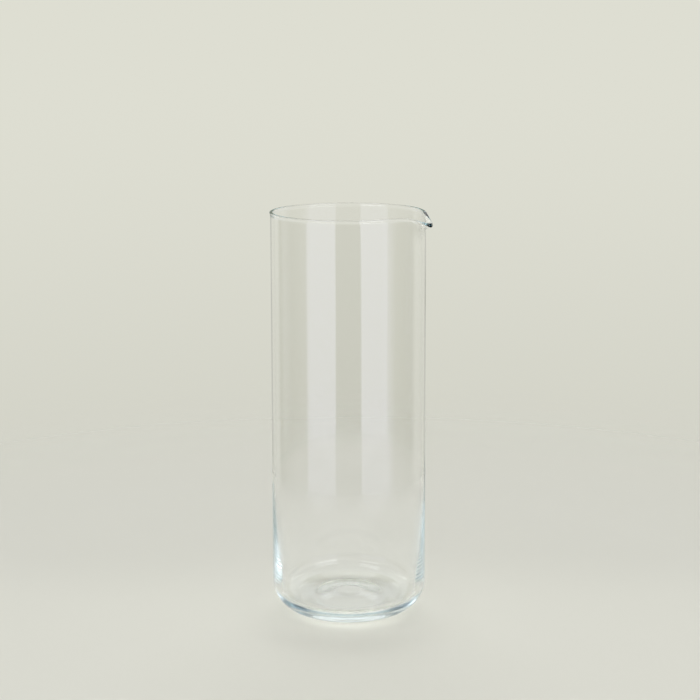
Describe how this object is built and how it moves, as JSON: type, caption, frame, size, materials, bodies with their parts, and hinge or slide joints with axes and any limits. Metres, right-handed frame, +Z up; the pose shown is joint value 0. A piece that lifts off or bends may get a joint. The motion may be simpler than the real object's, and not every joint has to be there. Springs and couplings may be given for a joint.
{
  "type": "glass pitcher",
  "caption": "Tall straight-sided clear glass pitcher without a handle, with a heavy floor, a rounded heel, a kicked-up underside and a small pulled pouring lip.",
  "frame": {"origin": "middle of the box that holds the pitcher, on the surface it stands on; the glass body's own axis stands 3.08 mm towards -X, because the lip reaches out on +X", "axes": "+Z up along the body's axis, +X the way the pouring lip points, XZ the mirror plane"},
  "size_m": [0.1032, 0.097, 0.254],
  "materials": {
    "clear_glass": "colourless soda glass, clear and polished, with a faint cool cast in its thick edges"
  },
  "bodies": {
    "root": {"glass_body": "clear_glass"}
  },
  "joints": []
}
